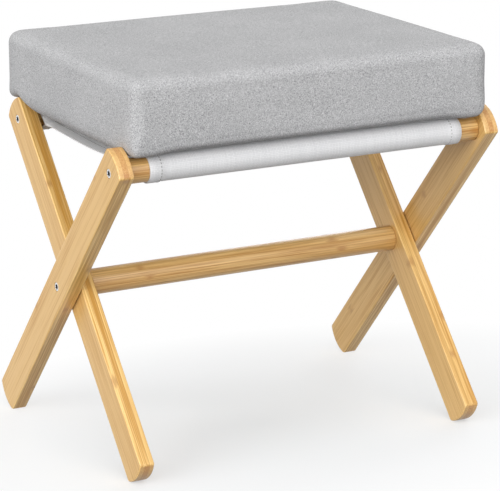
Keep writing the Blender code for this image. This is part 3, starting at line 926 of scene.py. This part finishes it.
@dataclass
class SlingHalf:
    """Half of the sling: a tunnel sewn round one rail, and the panel from there to the middle of the stool.

    Its section is drawn with p towards the middle of the stool and q upwards, from the axis of the rail.
    """

    end: End
    cloth: float = 0.9 * MM
    bore: float = 14.3 * MM
    seam_reach: float = 27.0 * MM
    seam_overlap: float = 11.0 * MM
    seam_gap: float = 0.05 * MM
    drop: float = 2.7 * MM
    sag: float = 2.8 * MM
    hem_width: float = 14.6 * MM
    hem_cloth: float = 1.5 * MM
    hem_edge: float = 0.5 * MM
    hem_slope: float = 1.2 * MM
    # Length in which the hem, outside on the tunnel, passes under the panel
    turn_under: float = 10.0 * MM
    stitch_inset: float = 13.6 * MM
    seam_rows: Pair = (30.0 * MM, 35.0 * MM)
    # Points of the section's stretches
    tail_steps: int = 6
    straight_steps: int = 8
    arc_steps: int = 64
    panel_steps: int = 36
    # Places across the cloth, from a little inside the hem to the middle, and points of a row of stitches
    hem_clear: float = 8.0 * MM
    width_steps: int = 26
    row_steps: int = 40
    sharp_degrees: float = 60.0
    # Real stitches are 0.5 mm thick: drawn thicker, so that they show
    stitch: BeadSize = BeadSize(pitch=3.8 * MM, length=2.3 * MM, width=1.0 * MM, height=0.6 * MM)

    def __post_init__(self) -> None:
        """Read the places of the rail and of the sling's side from the frame."""
        self.body = f"sling_{self.end.word}"
        self.nodes = [f"{self.end.word}_rail_sleeve", f"sling_panel_{self.end.word}"]
        self.axis = joint_place(f"{self.body}_swing")
        self.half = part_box(self.nodes[0])[1].x

    def section(self) -> tuple[np.ndarray, np.ndarray]:
        """Draw the middle line of the cloth, from the tail under the seam round the rail to the middle.

        Returns:
            Points of the line, and the direction out of the tunnel at each of them.
        """
        radius = self.bore + self.cloth / 2
        tail = -self.drop - self.cloth - self.seam_gap
        lower, upper = Vector((self.seam_reach, tail)), Vector((self.seam_reach, -self.drop))
        start = math.atan2(lower.y, lower.x) - math.acos(radius / lower.length)
        stop = math.atan2(upper.y, upper.x) + math.acos(radius / upper.length) - 2 * math.pi
        turns = np.linspace(start, stop, self.arc_steps)
        arc = radius * np.stack([np.cos(turns), np.sin(turns)], axis=1)
        run = np.linspace(0, 1, self.panel_steps)
        panel = self.seam_reach + (abs(self.axis.y) - self.seam_reach) * run
        line = np.concatenate([
            np.linspace((self.seam_reach + self.seam_overlap, tail), lower, self.tail_steps)[:-1],
            np.linspace(lower, arc[0], self.straight_steps)[:-1],
            arc,
            np.linspace(arc[-1], upper, self.straight_steps)[1:-1],
            np.stack([panel, -self.drop - self.sag * smooth(run)], axis=1),
        ])
        along = np.gradient(line, axis=0)
        along /= np.linalg.norm(along, axis=1, keepdims=True)
        return line, np.stack([-along[:, 1], along[:, 0]], axis=1)

    def stations(self) -> tuple[np.ndarray, np.ndarray]:
        """Find the places along X where the cloth changes its thickness.

        Returns:
            The places, and how far the outer face stands off the inner one there.
        """
        depth = np.concatenate([
            [0.0, self.hem_edge, self.hem_width / 2, self.hem_width, self.hem_width + self.hem_slope],
            np.linspace(self.hem_width + self.hem_clear, self.half, self.width_steps),
        ])
        hem = self.cloth + (self.hem_cloth - self.cloth) * np.clip(depth / self.hem_edge, 0, 1)
        thickness = np.where(depth > self.hem_width, self.cloth, hem)
        places = np.concatenate([depth - self.half, (self.half - depth)[-2::-1]])
        return places, np.concatenate([thickness, thickness[-2::-1]])

    def place(self, points: np.ndarray, x: np.ndarray | float) -> np.ndarray:
        """Put points of the section into the frame.

        Args:
            points: Points of the section.
            x: Place along X of each of them, or of all.

        Returns:
            Points in the frame.
        """
        p, q = points.T
        across = np.broadcast_to(x, len(points))
        return np.stack([across, self.axis.y - self.end.value * p, self.axis.z + q], axis=1)

    def build(self, rows: BeadRows) -> None:
        """Build the cloth and its stitches, and dress them.

        Args:
            rows: Tree that sets the stitches.
        """
        line, outward = self.section()
        places, thickness = self.stations()
        inner = line - outward * self.cloth / 2
        count, total = len(line), len(line) * len(places)
        # The side hem lies outside on the tunnel and underneath on the panel
        beyond = line[:, 0] - self.seam_reach - self.seam_overlap
        panel = (beyond > 0) & (np.arange(count) > count // 2)
        share = smooth(beyond / self.turn_under * panel)[:, None]
        inner_rings, outer_rings = [], []
        for x, t in zip(places, thickness):
            under = inner - outward * share * (t - self.cloth)
            inner_rings.append(self.place(under, x))
            outer_rings.append(self.place(under + outward * t, x))
        faces = []
        for s in range(len(places) - 1):
            for a in range(s * count, (s + 1) * count - 1):
                b = a + count
                faces += [(a, a + 1, b + 1, b), (total + a, total + b, total + b + 1, total + a + 1)]
            for a in (s * count, (s + 1) * count - 1):
                faces.append((a, a + count, total + a + count, total + a))
        for first in (0, total - count):
            faces += [(a, a + 1, total + a + 1, total + a) for a in range(first, first + count - 1)]
        length = np.concatenate([[0.0], np.cumsum(np.linalg.norm(np.diff(line, axis=0), axis=1))])
        pattern = np.stack([np.repeat(places, count), np.tile(length, len(places))], axis=1) / MM
        points = np.concatenate(outer_rings + inner_rings)
        cloth = add_mesh(
            f"{self.body}_canvas", points, faces, np.tile(pattern, (2, 1)), self.sharp_degrees
        )
        dress(cloth, self.body, self.nodes, CANVAS.material())

        below = inner - outward * share * (self.hem_cloth - self.cloth)
        above = below + outward * self.hem_cloth
        inset = self.half - self.stitch_inset
        lines = []
        for side in Side:
            lines += [self.place(above, side.value * inset), self.place(below[panel], side.value * inset)]
        reach = np.linspace(-inset, inset, self.row_steps)
        for p in self.seam_rows:
            for q in (-self.drop + self.cloth / 2, -self.drop - 1.5 * self.cloth - self.seam_gap):
                lines.append(self.place(np.tile((p, q), (len(reach), 1)), reach))
        stitches = rows.piece(f"{self.body}_stitches", lines, self.stitch, DARK_THREAD.material())
        dress(stitches, self.body)


@dataclass
class Cushion:
    """Loose foam cushion in a felt cover, pressed onto the tunnels and the tops of the inner legs."""

    body: str = "cushion"
    pitch: float = 7.0 * MM
    edge_radius: float = 14.0 * MM
    edge_steps: int = 4
    # How square the lower edges are at the rear and at the front, where they hang lower; 2 makes a circle
    lower_edge_powers: Pair = (2.6, 4.5)
    # How far the rim of the underside rises outside the tunnels
    rim_lift: float = 7.0 * MM
    # How much less it rises at the ends of the tunnels, and the length in which it gets less
    rim_ends: float = 0.45
    rim_fade: float = 30.0 * MM
    # How wide the rim is at the left and right ends
    rim_sides: Pair = (14.0 * MM, 20.0 * MM)
    side_height: float = 87.0 * MM
    crown: float = 3.0 * MM
    swell: float = 2.0 * MM
    # How far its ends lie to the right, and how far the lower right edge is drawn in
    slide: float = 1.7 * MM
    tuck: float = 3.5 * MM
    pressure: float = 1.5
    frames: int = 20
    # Height, in radii of the edge, up to which the simulation holds the cover
    hold_height: float = 1.2
    # How far the foam lets the cover move out and in
    give_out: float = 0.7 * MM
    give_in: float = 0.3 * MM
    leg_gap: float = 1.0 * MM
    leg_spread: float = 14.0 * MM
    # Slope of the cover before and behind the top of an inner leg, which the foam bridges
    bridge_slope: float = 0.3
    lift_height: float = 36.0 * MM
    rail_dent: float = 0.9 * MM
    rail_dent_half: float = 11.0 * MM
    # Slope of the cover beside an outer leg's top, where it bulges over it
    leg_slope: float = 0.6
    cover: float = 1.6 * MM
    fill: float = 0.9
    groove_half: float = 4.4 * MM
    groove_slope: float = 1.5 * MM
    groove_depth: float = 1.3 * MM
    # Distances past the zip's ends where the groove's end wall starts and stops
    groove_ends: Pair = (0.8 * MM, 2.3 * MM)
    # How far past the zip's ends and beside the groove's floor a point is still sunk with it
    groove_reach: Pair = (1.0 * MM, 0.1 * MM)

    def __post_init__(self) -> None:
        """Read the cushion's place and the zip's place from the frame."""
        self.low, self.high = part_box("cushion_cover")
        self.base = self.low.z
        low, self.zip_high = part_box("cushion_zip")
        self.zip_y = (low.y + self.zip_high.y) / 2

    def lines(self, half: float, stops: Sequence[float]) -> np.ndarray:
        """Find the places where the block is divided along one axis.

        Args:
            half: Half its size on that axis.
            stops: Places that need a line of their own.

        Returns:
            The places in order, close together on the rounded edges.
        """
        flat = half - self.edge_radius
        edge = flat + self.edge_radius * np.tan(np.linspace(0, math.pi / 4, self.edge_steps + 1)[1:])
        even = np.linspace(-flat, flat, max(2, round(2 * flat / self.pitch)) + 1)
        kept = [x for x in even if all(abs(x - s) > self.pitch / 3 for s in stops) or abs(x) == flat]
        return np.array(sorted([*-edge, *kept, *stops, *edge]))

    def block(self) -> tuple[np.ndarray, list[tuple[int, ...]]]:
        """Draw the rounded block that the cover starts from.

        Returns:
            Its points and faces.
        """
        half = np.array([self.high.x - self.swell, self.high.y - self.swell, self.side_height / 2])
        ends = [self.zip_high.x + step for step in self.groove_ends]
        walls = [self.groove_half, self.groove_half + self.groove_slope]
        grid = [
            self.lines(half[0], [side.value * end for side in Side for end in ends]),
            self.lines(half[1], [self.zip_y + side.value * wall for side in Side for wall in walls]),
            self.lines(half[2], []),
        ]
        numbers: dict[tuple[int, ...], int] = {}
        faces: list[tuple[int, ...]] = []
        lasts = [len(g) - 1 for g in grid]
        for axis in range(3):
            u, v = (axis + 1) % 3, (axis + 2) % 3
            for level in (0, lasts[axis]):
                for i, j in np.ndindex(lasts[u], lasts[v]):
                    corners = []
                    for a, b in ((i, j), (i + 1, j), (i + 1, j + 1), (i, j + 1)):
                        place = [0, 0, 0]
                        place[axis], place[u], place[v] = level, a, b
                        corners.append(numbers.setdefault(tuple(place), len(numbers)))
                    faces.append(tuple(corners))
        box = np.array([[grid[axis][step] for axis, step in enumerate(place)] for place in numbers])
        core = half - self.edge_radius
        inside = np.clip(box, -core, core)
        out = box - inside
        below = np.clip(-box[:, 2:] / half[2], 0, 1)
        front = np.clip(0.5 - box[:, 1:2] / half[1] / 2, 0, 1)
        rear_power, front_power = self.lower_edge_powers
        power = 2 + (rear_power + (front_power - rear_power) * front - 2) * smooth(below)
        reach = (np.abs(out / self.edge_radius) ** power).sum(1, keepdims=True) ** (1 / power)
        skin = inside + out / reach
        across, deep, high = (skin / half).T
        skin[:, 0] += self.swell * across * (1 - deep**2) + self.slide * across**4
        skin[:, 0] -= self.tuck * below[:, 0] ** 2 * np.maximum(across, 0) ** 4
        skin[:, 1] += self.swell * deep * (1 - across**2)
        skin[:, 2] += self.crown * np.maximum(high, 0) * (1 - across**2) * (1 - deep**2) + half[2] + self.base
        return skin, faces

    def inflate(self, piece: Object) -> None:
        """Blow the cover up with a cloth simulation that holds its underside, and keep what the foam allows.

        Args:
            piece: Cover, whose points are moved.
        """
        rest = mesh_parts(piece.data)[0]
        held = piece.vertex_groups.new(name="underside")
        height = (rest[:, 2] - self.base) / self.edge_radius
        for index, share in enumerate(np.clip(self.hold_height - height, 0, 1)):
            held.add([index], float(share), "REPLACE")
        cloth = piece.modifiers.new("inflate", "CLOTH")
        settings = cloth.settings
        settings.quality = 6
        settings.mass = 0.4
        settings.vertex_group_mass = held.name
        settings.tension_stiffness = 18
        settings.compression_stiffness = 18
        settings.shear_stiffness = 10
        settings.bending_stiffness = 3
        settings.use_pressure = True
        settings.uniform_pressure_force = self.pressure
        settings.effector_weights.gravity = 0
        cloth.collision_settings.use_collision = False
        for number in range(1, self.frames + 1):
            bpy.context.scene.frame_set(number)
        depsgraph = bpy.context.evaluated_depsgraph_get()
        blown = mesh_parts(piece.evaluated_get(depsgraph).data)[0]
        piece.modifiers.remove(cloth)
        piece.vertex_groups.clear()
        bpy.context.scene.frame_set(1)
        normals = np.array([v.normal for v in piece.data.vertices])
        out = ((blown - rest) * normals).sum(1, keepdims=True)
        LOG.info("cover moves %.1f mm out and %.1f mm in at most", out.max() / MM, -out.min() / MM)
        points = rest + normals * np.clip(out, -self.give_in, self.give_out)
        piece.data.vertices.foreach_set("co", points.ravel())

    def leg_tops(self, node: str, places: np.ndarray) -> np.ndarray:
        """Measure a leg's upper side with rays from above.

        Args:
            node: CAD node of the leg.
            places: Places along Y.

        Returns:
            Its height at each place, or not a number beside the leg.
        """
        low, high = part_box(node)
        surface = BVHTree.FromPolygons(*mesh_parts(frame["nodes"][node].data))
        starts = (Vector(((low.x + high.x) / 2, float(y), self.high.z)) for y in places)
        hits = [surface.ray_cast(start, DOWN)[0] for start in starts]
        return np.array([math.nan if hit is None else hit.z for hit in hits])

    def press(self, piece: Object) -> None:
        """Dent the underside where the legs and tunnels press into it, and sink the zip's groove.

        Args:
            piece: Cover, whose points are moved.
        """
        x, y, z = mesh_parts(piece.data)[0].T.copy()
        lift = np.zeros(len(x))
        for side in Side:
            node = f"{side.word}_inner_leg"
            inner = min(abs(corner.x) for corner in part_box(node))
            aside = (inner - self.leg_gap - side.value * x) / self.leg_spread
            near = np.flatnonzero((aside < 1) & (z < self.base + self.lift_height))
            tops = np.nan_to_num(self.leg_tops(node, y[near]) + self.leg_gap - self.base)
            apart = np.abs(y[near][:, None] - y[near][None, :])
            tops = (tops[None, :] - self.bridge_slope * apart).max(1)
            lift[near] = np.maximum(lift[near], tops * (1 - smooth(aside[near])))
        rail = abs(joint_place("sling_front_swing").y)
        past_rail = np.abs(y) - rail
        past_sleeve = np.abs(x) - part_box("front_rail_sleeve")[1].x
        off, beside = (
            np.clip(past / self.rail_dent_half, 0, 1) for past in (np.abs(past_rail), past_sleeve)
        )
        dent = self.rail_dent * (1 - off**2) ** 2 * (1 - beside**2)
        # The rim rises outside the tunnels, less at the ends of the rails, and at the ends of the cushion
        outside = np.clip(past_rail / (self.high.y - rail), 0, 1)
        outside *= 1 - self.rim_ends * np.clip(past_sleeve / self.rim_fade + 1, 0, 1)
        left, right = self.rim_sides
        rim = np.maximum.reduce([outside, 1 - (x + self.high.x) / left, 1 - (self.high.x - x) / right])
        lift = np.maximum.reduce([lift, dent, self.rim_lift * smooth(rim)])
        z += lift * (1 - smooth((z - self.base) / self.lift_height))

        # Room for the tops of the outer legs at the cushion's ends
        for side in Side:
            node = f"{side.word}_outer_leg"
            inner = min(abs(corner.x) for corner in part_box(node)) - self.leg_gap
            near = np.flatnonzero((side.value * x > inner) & (z < self.base + self.lift_height))
            over = z[near] - self.leg_tops(node, y[near]) - self.leg_gap
            limit = inner + self.leg_slope * np.maximum(over, 0)
            x[near] = side.value * np.fmin(side.value * x[near], limit)

        past_end, past_floor = self.groove_reach
        in_groove = np.abs(y - self.zip_y) < self.groove_half + past_floor
        in_groove &= np.abs(x) < self.zip_high.x + past_end
        in_groove &= z < self.base + self.edge_radius / 2
        z[in_groove] += self.groove_depth
        piece.data.vertices.foreach_set("co", np.stack([x, y, z], axis=1).ravel())

    def build(self) -> None:
        """Build the cover and the foam in it, and dress them."""
        cover = add_mesh("cushion_felt_cover", *self.block(), sharp_degrees=ALL_SMOOTH_DEGREES)
        self.inflate(cover)
        self.press(cover)
        cover.data.update()
        normals = np.array([v.normal for v in cover.data.vertices])
        points, faces = mesh_parts(cover.data)
        inner = points - normals * self.cover
        filling = add_mesh("cushion_foam_block", inner, faces, sharp_degrees=ALL_SMOOTH_DEGREES)
        for piece, slot, node, finish in (
            (cover, "cushion_cloth", "cushion_cover", FELT),
            (filling, "foam", "cushion_foam", FOAM),
        ):
            rounding = piece.modifiers.new("round", "SUBSURF")
            rounding.levels = rounding.render_levels = 1
            dress(piece, self.body, [node], finish.material())


@dataclass(frozen=True)
class PlateShape:
    """Outline of a small plate: half its length and width, and how square it is; 2 makes an ellipse."""

    half_length: float
    half_width: float
    power: float


@dataclass
class Zip:
    """Zip under the cushion: woven tape, two rows of coil turns, stitches beside it and the slider."""

    body: str = "cushion"
    tape_half: float = 4.2 * MM
    tape: float = 0.6 * MM
    tape_lift: float = 0.55 * MM
    tape_steps: int = 60
    row_steps: int = 80
    coil_offset: float = 1.0 * MM
    coil: BeadSize = BeadSize(1.7 * MM, length=3.4 * MM, width=1.25 * MM, height=0.85 * MM, turn=math.pi / 2)
    stitch_offset: float = 7.6 * MM
    stitch: BeadSize = BeadSize(3.0 * MM, length=2.0 * MM, width=0.6 * MM, height=0.5 * MM)
    slider: PlateShape = PlateShape(5.5 * MM, 4.5 * MM, power=3.5)
    # How much wider the slider's right end is than its middle
    slider_taper: float = 0.2
    plate: float = 0.8 * MM
    bridge: PlateShape = PlateShape(2.6 * MM, 1.1 * MM, power=3.0)
    bridge_ahead: float = 1.0 * MM
    pull: PlateShape = PlateShape(12.0 * MM, 3.0 * MM, power=4.0)
    pull_plate: float = 1.0 * MM
    hole: PlateShape = PlateShape(2.6 * MM, 1.3 * MM, power=2.4)
    hole_inset: float = 5.0 * MM
    rim: float = 0.2 * MM
    steps: int = 40

    def rings(
        self, shape: PlateShape, centre: Point, heights: Sequence[Pair], taper: float = 0.0
    ) -> list[np.ndarray]:
        """Draw the rings of a small plate.

        Args:
            shape: Its outline.
            centre: Middle of its underside.
            heights: Height above the underside, and inset of the outline there.
            taper: How much wider its right end is than its middle.

        Returns:
            One ring for each height.
        """
        turn = np.linspace(0, 2 * np.pi, self.steps, endpoint=False)
        x, y = (np.sign(way) * np.abs(way) ** (2 / shape.power) for way in (np.cos(turn), np.sin(turn)))
        outline = np.stack([shape.half_length * x, shape.half_width * y * (1 + taper * x)], axis=1)
        rings = []
        for height, inset in heights:
            shrunk = outline * (1 - inset / np.abs(outline).max(0))
            rings.append(np.insert(shrunk, 2, height, axis=1) + np.array(centre))
        return rings

    def edge(self, thickness: float) -> list[Pair]:
        """Heights and insets of a plate with eased edges."""
        return [(0.0, self.rim), (self.rim, 0.0), (thickness - self.rim, 0.0), (thickness, self.rim)]

    def build_slider(self) -> None:
        """Build the slider from two plates, a bridge and a pull tab, and dress it."""
        low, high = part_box("zip_slider")
        y, x = (low.y + high.y) / 2, high.x - self.slider.half_length
        under = low.z + self.pull_plate / 2
        plates = [
            self.rings(self.slider, (x, y, floor), self.edge(self.plate), self.slider_taper)
            for floor in (under, high.z - self.plate)
        ]
        foot = (x + self.bridge_ahead, y, under + self.plate / 2)
        bridge = self.rings(self.bridge, foot, [(0.0, 0.0), (high.z - under - self.plate, 0.0)])
        tab = self.rings(self.pull, (low.x + self.pull.half_length, y, low.z), self.edge(self.pull_plate))
        eye = (low.x + self.hole_inset, y, low.z)
        tab += self.rings(self.hole, eye, [(self.pull_plate, -self.rim), (0.0, -self.rim)])
        shells = [loft("shell", rings) for rings in (*plates, bridge)]
        shells.append(loft("shell", tab, closed=True))
        vertices, faces = [], []
        for shell in shells:
            points, sides = mesh_parts(shell.data)
            faces += [tuple(len(vertices) + i for i in side) for side in sides]
            vertices += points.tolist()
            bpy.data.objects.remove(shell)
        slider = add_mesh("zip_slider_pull", np.array(vertices), faces)
        dress(slider, "zip_slider", ["zip_slider"], SLIDER_STEEL.material())

    def build(self, rows: BeadRows) -> None:
        """Build and dress the zip.

        Args:
            rows: Tree that sets coil turns and stitches.
        """
        low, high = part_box("cushion_zip")
        y, half = (low.y + high.y) / 2, (high.x - low.x) / 2
        floor, wide = low.z + self.tape_lift, self.tape_half
        top = floor + self.tape
        strip = np.array([(y - wide, floor), (y + wide, floor), (y + wide, top), (y - wide, top)])
        places = np.linspace(-half, half, self.tape_steps)
        ribbon = loft("zip_tape", [np.insert(strip, 0, x, axis=1) for x in places])
        for loop, item in zip(ribbon.data.loops, ribbon.data.uv_layers["pattern"].data):
            item.uv = ribbon.data.vertices[loop.vertex_index].co.xy / MM
        dress(ribbon, self.body, ["cushion_zip"], ZIP_TAPE.material())

        def pair(reach: float, offset: float, z: float, shift: float = 0.0) -> list[np.ndarray]:
            """Draw a line on each side of the zip's middle.

            Args:
                reach: Half the length of a line.
                offset: Distance of a line from the zip's middle.
                z: Height of both.
                shift: How far the rear line is shifted to the right, and the front one to the left.

            Returns:
                Points of both lines.
            """
            along, level = np.linspace(-reach, reach, self.row_steps), np.ones(self.row_steps)
            return [
                np.stack([along + end.value * shift, level * (y + end.value * offset), level * z], axis=1)
                for end in End
            ]

        pitch, base = self.coil.pitch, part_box("cushion_cover")[0].z
        turns = pair(half - pitch, self.coil_offset, floor, pitch / 4)
        dress(rows.piece("zip_coil_turns", turns, self.coil, COIL_NYLON.material()), self.body)
        seams = pair(half, self.stitch_offset, base)
        dress(rows.piece("zip_stitches", seams, self.stitch, THREAD.material()), self.body)
        self.build_slider()


@dataclass
class Studio:
    """Pale floor, soft light and the camera of the photograph."""

    floor_half: float = 15.0
    floor_seen: str = "#ECEFF1"
    floor_bounce: str = "#707070"
    floor_glow_base: str = "#000000"
    # Half sizes of the oval in which the floor's shadow fades out to plain white, and its way forward
    shade_half: Pair = (0.57, 0.35)
    shade_ahead: float = 0.045
    sky: float = 0.51
    camera_place: Point = (-1.30444, -2.46769, 0.98074)
    camera_aim: Point = (0.45290, 0.85056, -0.26694)
    camera_roll: float = -0.0026
    lens: float = 176.83
    sensor: float = 36.0
    # Direction that each lamp shines in, its strength in W/m2 and its apparent width in degrees
    lamps: tuple[tuple[str, Point, float, float], ...] = (
        ("left_window", (0.93, 0.25, -0.27), 2.15, 50.0),
        ("front_window", (0.20, 0.87, -0.45), 2.1, 70.0),
        ("rear_window", (-0.70, -0.68, -0.22), 1.1, 40.0),
    )

    def seen_rays(self, add: AddNode) -> NodeSocket:
        """Add the test for rays that show the background: from the camera, mirrored or let through.

        Args:
            add: Adds a node to the tree of the floor or the world.

        Returns:
            Output that is 1 on such rays.
        """
        rays = add("LightPath").node.outputs
        seen = add("Math", (rays["Is Camera Ray"], rays["Is Glossy Ray"]), operation="MAXIMUM")
        return add("Math", (seen, rays["Is Transmission Ray"]), operation="MAXIMUM")

    def build_floor(self) -> None:
        """Lay the floor, which throws less light back up than it shows."""
        h = self.floor_half
        mesh = bpy.data.meshes.new("studio_floor")
        mesh.from_pydata([(-h, -h, 0), (h, -h, 0), (h, h, 0), (-h, h, 0)], [], [(0, 1, 2, 3)])
        floor = add_object("studio_floor", mesh)
        material, add, shader = start_material("matt_painted_floor")
        seen = self.seen_rays(add)
        across, deep = self.shade_half
        scale, shift = (1 / across, 1 / deep, 0.0), (0.0, self.shade_ahead / deep, 0.0)
        place = add("TexCoord").node.outputs["Object"]
        oval = add("VectorMath", (place, scale, shift), operation="MULTIPLY_ADD")
        away = add("VectorMath", (oval,), "Value", operation="LENGTH")
        plain = add("Math", (away, 1.0), operation="MINIMUM")
        glow = add("Math", (plain, seen), operation="MULTIPLY")
        lit = {MIX_A: linear(self.floor_bounce), MIX_B: linear(self.floor_seen)}
        base = {MIX_A: add("Mix", {0: seen, **lit}, **MIX_COLOURS), MIX_B: linear(self.floor_glow_base)}
        feed(shader, {
            "Base Color": add("Mix", {0: glow, **base}, **MIX_COLOURS),
            "Roughness": 1.0,
            "Specular IOR Level": 0.0,
            "Emission Color": WHITE,
            "Emission Strength": glow,
        })
        mesh.materials.append(material)

    def build_light(self) -> None:
        """Set the even sky and the soft lamps."""
        world = bpy.data.worlds.new("white_room")
        world.use_nodes = True
        world.node_tree.nodes.clear()
        add = partial(add_node, world.node_tree)
        light, white = (add("Background", {"Strength": power, "Color": WHITE}) for power in (self.sky, 1.0))
        add("OutputWorld", {"Surface": add("MixShader", (self.seen_rays(add), light, white))})
        bpy.context.scene.world = world
        for name, direction, strength, width in self.lamps:
            lamp = bpy.data.lights.new(name, "SUN")
            lamp.energy, lamp.angle = strength, math.radians(width)
            add_object(name, lamp).rotation_euler = Vector(direction).to_track_quat("-Z", "Y").to_euler()

    def build(self) -> None:
        """Build the floor, the light and the camera."""
        self.build_floor()
        self.build_light()
        lens = bpy.data.cameras.new("camera")
        lens.lens, lens.sensor_width = self.lens, self.sensor
        camera = add_object("camera", lens)
        camera.location = self.camera_place
        aim = Vector(self.camera_aim).to_track_quat("-Z", "Y")
        camera.rotation_euler = (aim @ Quaternion((0, 0, 1), self.camera_roll)).to_euler()
        bpy.context.scene.camera = camera
        bpy.context.scene.view_settings.view_transform = "Standard"


def main() -> None:
    """Build the stool on its frame, and the studio around it."""
    logging.basicConfig(level=logging.INFO, format="%(name)s: %(message)s")
    rows = BeadRows()
    Studio().build()
    LegFrame("outer", End.FRONT, seed=2.7).build()
    LegFrame("inner", End.REAR, seed=11.3).build()
    Axle().build()
    for end in End:
        SlingHalf(end).build(rows)
    Cushion().build()
    Zip().build(rows)


if __name__ == "__main__":
    main()
